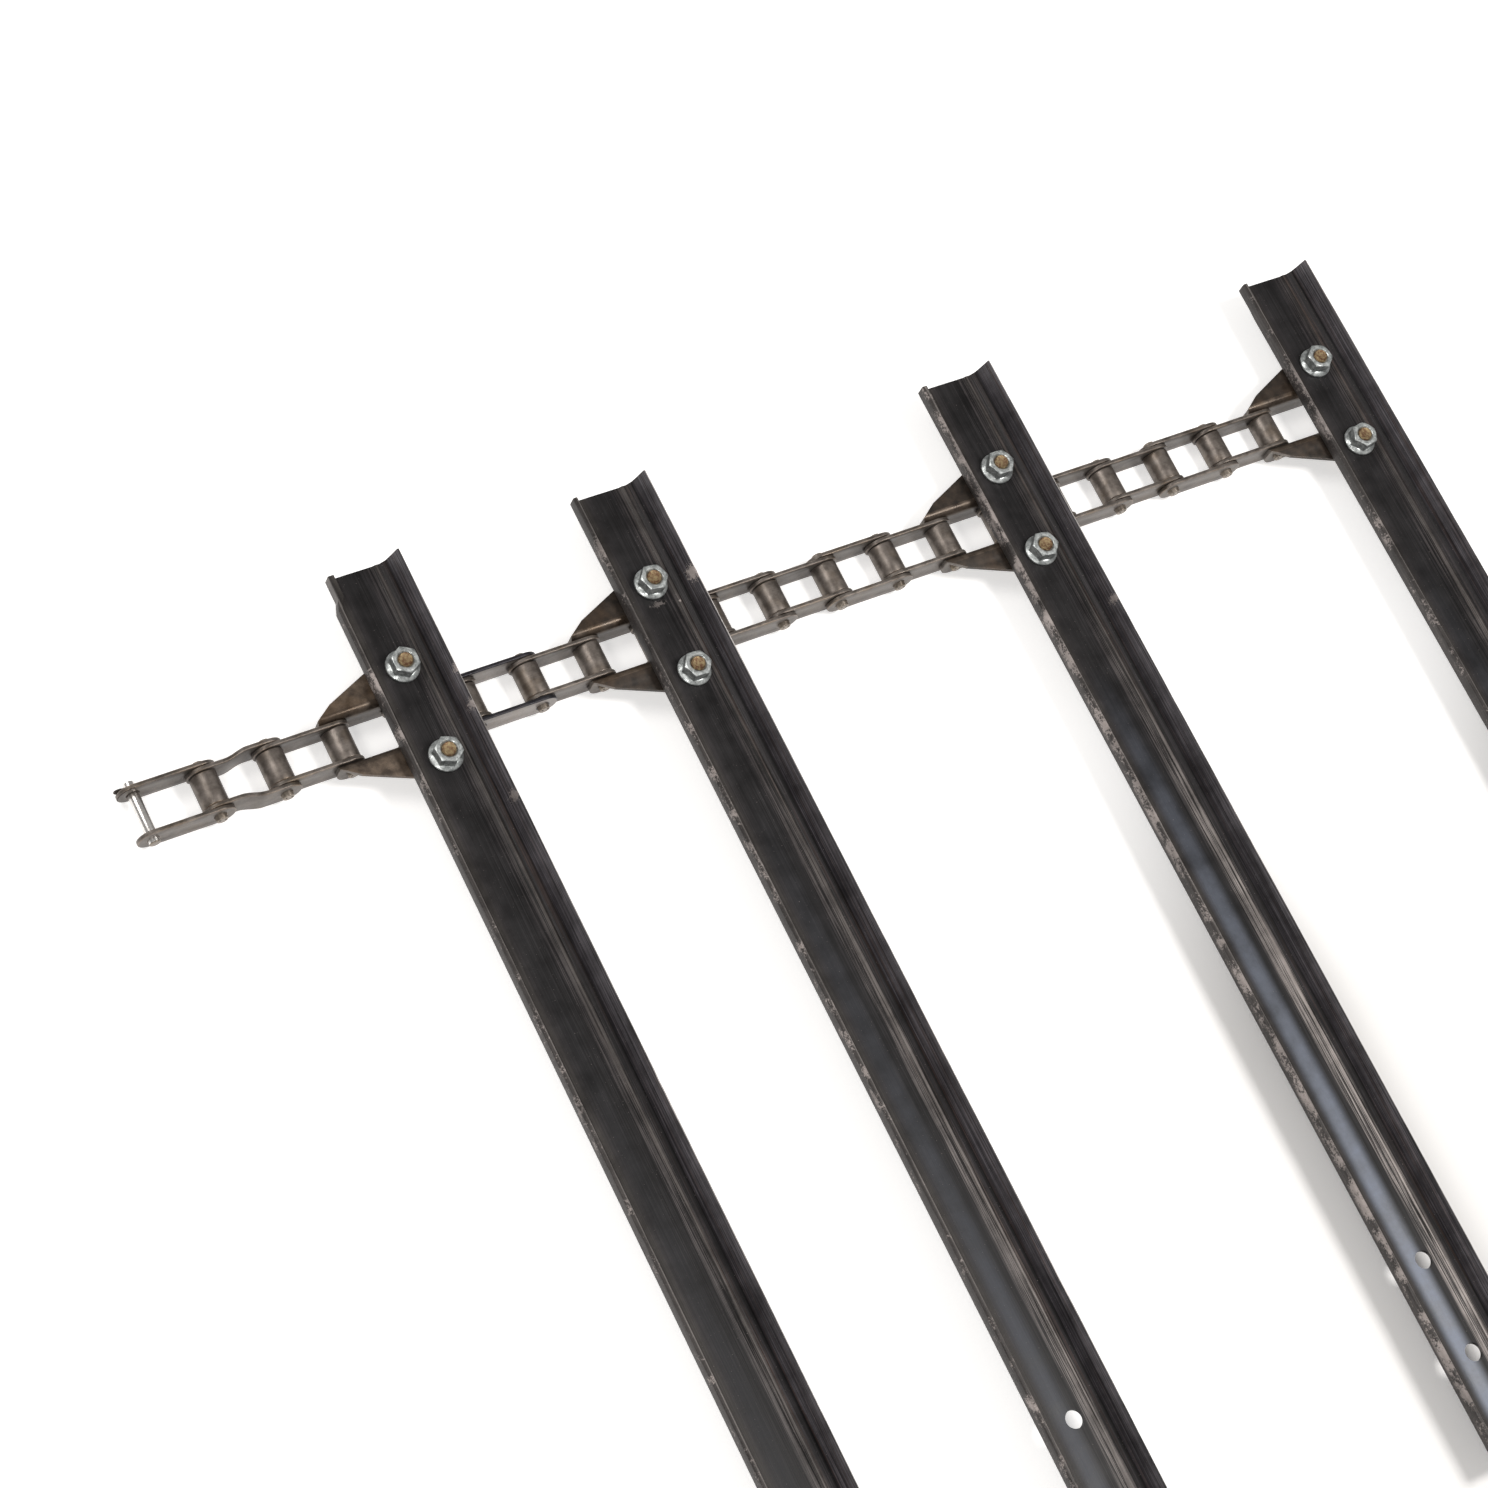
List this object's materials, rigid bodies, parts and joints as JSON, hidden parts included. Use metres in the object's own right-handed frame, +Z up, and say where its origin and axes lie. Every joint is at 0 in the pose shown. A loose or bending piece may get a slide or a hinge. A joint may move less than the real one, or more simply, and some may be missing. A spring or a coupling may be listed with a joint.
{
  "type": "feeder house slat chain strand",
  "caption": "Strand of steel roller chain with long rolled slats bolted across it on bent-out attachment plates, as in a crop feeder conveyor.",
  "frame": {"origin": "middle of the bounding box's underside, in the plane of the plates' lower edges", "axes": "+X along the strand from the loose end pin to the last slat, +Y across it towards the slats' short ends, +Z up, through the nuts"},
  "size_m": [0.872, 0.74, 0.0378],
  "materials": {
    "plate_steel": "hot-rolled and oiled, brown-grey, with golden brown on its edges",
    "blued_steel": "heat-blued, dark grey",
    "roller_steel": "turned, satin brown-grey",
    "pin_steel": "ground and bright",
    "slat_steel": "black mill scale, worn bright along its edges",
    "yellow_zinc": "yellow passivated zinc",
    "bright_zinc": "bright zinc"
  },
  "bodies": {
    "connecting_link_00": {"connecting_link_00": "plate_steel", "connecting_pin": "pin_steel"},
    "offset_link_01": {"offset_link_01": "plate_steel"},
    "inner_link_02": {"inner_link_02": "plate_steel"},
    "attachment_link_03": {"attachment_link_03": "plate_steel", "slat_1": "slat_steel", "bolt_1_far": "yellow_zinc", "bolt_1_near": "yellow_zinc", "nut_1_far": "bright_zinc", "nut_1_near": "bright_zinc"},
    "inner_link_04": {"inner_link_04": "plate_steel"},
    "outer_link_05": {"outer_link_05": "blued_steel"},
    "inner_link_06": {"inner_link_06": "plate_steel"},
    "attachment_link_07": {"attachment_link_07": "plate_steel", "slat_2": "slat_steel", "bolt_2_far": "yellow_zinc", "bolt_2_near": "yellow_zinc", "nut_2_far": "bright_zinc", "nut_2_near": "bright_zinc"},
    "inner_link_08": {"inner_link_08": "plate_steel"},
    "outer_link_09": {"outer_link_09": "plate_steel"},
    "inner_link_10": {"inner_link_10": "plate_steel"},
    "outer_link_11": {"outer_link_11": "plate_steel"},
    "inner_link_12": {"inner_link_12": "plate_steel"},
    "attachment_link_13": {"attachment_link_13": "plate_steel", "slat_3": "slat_steel", "bolt_3_far": "yellow_zinc", "bolt_3_near": "yellow_zinc", "nut_3_far": "bright_zinc", "nut_3_near": "bright_zinc"},
    "inner_link_14": {"inner_link_14": "plate_steel"},
    "outer_link_15": {"outer_link_15": "plate_steel"},
    "inner_link_16": {"inner_link_16": "plate_steel"},
    "outer_link_17": {"outer_link_17": "plate_steel"},
    "inner_link_18": {"inner_link_18": "plate_steel"},
    "attachment_link_19": {"attachment_link_19": "plate_steel", "slat_4": "slat_steel", "bolt_4_far": "yellow_zinc", "bolt_4_near": "yellow_zinc", "nut_4_far": "bright_zinc", "nut_4_near": "bright_zinc"},
    "roller_01": {"roller_01": "roller_steel"},
    "roller_02": {"roller_02": "roller_steel"},
    "roller_03": {"roller_03": "roller_steel"},
    "roller_04": {"roller_04": "roller_steel"},
    "roller_05": {"roller_05": "roller_steel"},
    "roller_06": {"roller_06": "roller_steel"},
    "roller_07": {"roller_07": "roller_steel"},
    "roller_08": {"roller_08": "roller_steel"},
    "roller_09": {"roller_09": "roller_steel"},
    "roller_10": {"roller_10": "roller_steel"},
    "roller_11": {"roller_11": "roller_steel"},
    "roller_12": {"roller_12": "roller_steel"},
    "roller_13": {"roller_13": "roller_steel"},
    "roller_14": {"roller_14": "roller_steel"},
    "roller_15": {"roller_15": "roller_steel"},
    "roller_16": {"roller_16": "roller_steel"},
    "roller_17": {"roller_17": "roller_steel"},
    "roller_18": {"roller_18": "roller_steel"},
    "roller_19": {"roller_19": "roller_steel"}
  },
  "joints": [
    {"name": "pivot_01", "type": "hinge", "parent": "offset_link_01", "child": "connecting_link_00", "pos_m": [-0.3844, 0.275, 0.00965], "axis": [0, 1, 0], "range_deg": [-25, 25]},
    {"name": "pivot_02", "type": "hinge", "parent": "inner_link_02", "child": "offset_link_01", "pos_m": [-0.343, 0.275, 0.00965], "axis": [0, 1, 0], "range_deg": [-25, 25]},
    {"name": "pivot_03", "type": "hinge", "parent": "attachment_link_03", "child": "inner_link_02", "pos_m": [-0.3016, 0.275, 0.00965], "axis": [0, 1, 0], "range_deg": [-25, 25]},
    {"name": "pivot_04", "type": "hinge", "parent": "inner_link_04", "child": "attachment_link_03", "pos_m": [-0.2602, 0.275, 0.00965], "axis": [0, 1, 0], "range_deg": [-25, 1]},
    {"name": "pivot_05", "type": "hinge", "parent": "outer_link_05", "child": "inner_link_04", "pos_m": [-0.2188, 0.275, 0.00965], "axis": [0, 1, 0], "range_deg": [-25, 25]},
    {"name": "pivot_06", "type": "hinge", "parent": "inner_link_06", "child": "outer_link_05", "pos_m": [-0.1774, 0.275, 0.00965], "axis": [0, 1, 0], "range_deg": [-25, 25]},
    {"name": "pivot_07", "type": "hinge", "parent": "attachment_link_07", "child": "inner_link_06", "pos_m": [-0.136, 0.275, 0.00965], "axis": [0, 1, 0], "range_deg": [-25, 25]},
    {"name": "pivot_08", "type": "hinge", "parent": "inner_link_08", "child": "attachment_link_07", "pos_m": [-0.0946, 0.275, 0.00965], "axis": [0, 1, 0], "range_deg": [-25, 1]},
    {"name": "pivot_09", "type": "hinge", "parent": "outer_link_09", "child": "inner_link_08", "pos_m": [-0.0532, 0.275, 0.00965], "axis": [0, 1, 0], "range_deg": [-25, 25]},
    {"name": "pivot_10", "type": "hinge", "parent": "inner_link_10", "child": "outer_link_09", "pos_m": [-0.0118, 0.275, 0.00965], "axis": [0, 1, 0], "range_deg": [-25, 25]},
    {"name": "pivot_11", "type": "hinge", "parent": "inner_link_10", "child": "outer_link_11", "pos_m": [0.0296, 0.275, 0.00965], "axis": [0, 1, 0], "range_deg": [-25, 25]},
    {"name": "pivot_12", "type": "hinge", "parent": "outer_link_11", "child": "inner_link_12", "pos_m": [0.071, 0.275, 0.00965], "axis": [0, 1, 0], "range_deg": [-25, 25]},
    {"name": "pivot_13", "type": "hinge", "parent": "inner_link_12", "child": "attachment_link_13", "pos_m": [0.1124, 0.275, 0.00965], "axis": [0, 1, 0], "range_deg": [-25, 25]},
    {"name": "pivot_14", "type": "hinge", "parent": "attachment_link_13", "child": "inner_link_14", "pos_m": [0.1538, 0.275, 0.00965], "axis": [0, 1, 0], "range_deg": [-1, 25]},
    {"name": "pivot_15", "type": "hinge", "parent": "inner_link_14", "child": "outer_link_15", "pos_m": [0.1952, 0.275, 0.00965], "axis": [0, 1, 0], "range_deg": [-25, 25]},
    {"name": "pivot_16", "type": "hinge", "parent": "outer_link_15", "child": "inner_link_16", "pos_m": [0.2366, 0.275, 0.00965], "axis": [0, 1, 0], "range_deg": [-25, 25]},
    {"name": "pivot_17", "type": "hinge", "parent": "inner_link_16", "child": "outer_link_17", "pos_m": [0.278, 0.275, 0.00965], "axis": [0, 1, 0], "range_deg": [-25, 25]},
    {"name": "pivot_18", "type": "hinge", "parent": "outer_link_17", "child": "inner_link_18", "pos_m": [0.3194, 0.275, 0.00965], "axis": [0, 1, 0], "range_deg": [-25, 25]},
    {"name": "pivot_19", "type": "hinge", "parent": "inner_link_18", "child": "attachment_link_19", "pos_m": [0.3608, 0.275, 0.00965], "axis": [0, 1, 0], "range_deg": [-25, 25]},
    {"name": "roller_01_spin", "type": "hinge", "parent": "offset_link_01", "child": "roller_01", "pos_m": [-0.3844, 0.275, 0.00965], "axis": [0, 1, 0], "continuous": true},
    {"name": "roller_02_spin", "type": "hinge", "parent": "inner_link_02", "child": "roller_02", "pos_m": [-0.343, 0.275, 0.00965], "axis": [0, 1, 0], "continuous": true},
    {"name": "roller_03_spin", "type": "hinge", "parent": "inner_link_02", "child": "roller_03", "pos_m": [-0.3016, 0.275, 0.00965], "axis": [0, 1, 0], "continuous": true},
    {"name": "roller_04_spin", "type": "hinge", "parent": "inner_link_04", "child": "roller_04", "pos_m": [-0.2602, 0.275, 0.00965], "axis": [0, 1, 0], "continuous": true},
    {"name": "roller_05_spin", "type": "hinge", "parent": "inner_link_04", "child": "roller_05", "pos_m": [-0.2188, 0.275, 0.00965], "axis": [0, 1, 0], "continuous": true},
    {"name": "roller_06_spin", "type": "hinge", "parent": "inner_link_06", "child": "roller_06", "pos_m": [-0.1774, 0.275, 0.00965], "axis": [0, 1, 0], "continuous": true},
    {"name": "roller_07_spin", "type": "hinge", "parent": "inner_link_06", "child": "roller_07", "pos_m": [-0.136, 0.275, 0.00965], "axis": [0, 1, 0], "continuous": true},
    {"name": "roller_08_spin", "type": "hinge", "parent": "inner_link_08", "child": "roller_08", "pos_m": [-0.0946, 0.275, 0.00965], "axis": [0, 1, 0], "continuous": true},
    {"name": "roller_09_spin", "type": "hinge", "parent": "inner_link_08", "child": "roller_09", "pos_m": [-0.0532, 0.275, 0.00965], "axis": [0, 1, 0], "continuous": true},
    {"name": "roller_10_spin", "type": "hinge", "parent": "inner_link_10", "child": "roller_10", "pos_m": [-0.0118, 0.275, 0.00965], "axis": [0, 1, 0], "continuous": true},
    {"name": "roller_11_spin", "type": "hinge", "parent": "inner_link_10", "child": "roller_11", "pos_m": [0.0296, 0.275, 0.00965], "axis": [0, 1, 0], "continuous": true},
    {"name": "roller_12_spin", "type": "hinge", "parent": "inner_link_12", "child": "roller_12", "pos_m": [0.071, 0.275, 0.00965], "axis": [0, 1, 0], "continuous": true},
    {"name": "roller_13_spin", "type": "hinge", "parent": "inner_link_12", "child": "roller_13", "pos_m": [0.1124, 0.275, 0.00965], "axis": [0, 1, 0], "continuous": true},
    {"name": "roller_14_spin", "type": "hinge", "parent": "inner_link_14", "child": "roller_14", "pos_m": [0.1538, 0.275, 0.00965], "axis": [0, 1, 0], "continuous": true},
    {"name": "roller_15_spin", "type": "hinge", "parent": "inner_link_14", "child": "roller_15", "pos_m": [0.1952, 0.275, 0.00965], "axis": [0, 1, 0], "continuous": true},
    {"name": "roller_16_spin", "type": "hinge", "parent": "inner_link_16", "child": "roller_16", "pos_m": [0.2366, 0.275, 0.00965], "axis": [0, 1, 0], "continuous": true},
    {"name": "roller_17_spin", "type": "hinge", "parent": "inner_link_16", "child": "roller_17", "pos_m": [0.278, 0.275, 0.00965], "axis": [0, 1, 0], "continuous": true},
    {"name": "roller_18_spin", "type": "hinge", "parent": "inner_link_18", "child": "roller_18", "pos_m": [0.3194, 0.275, 0.00965], "axis": [0, 1, 0], "continuous": true},
    {"name": "roller_19_spin", "type": "hinge", "parent": "inner_link_18", "child": "roller_19", "pos_m": [0.3608, 0.275, 0.00965], "axis": [0, 1, 0], "continuous": true}
  ]
}
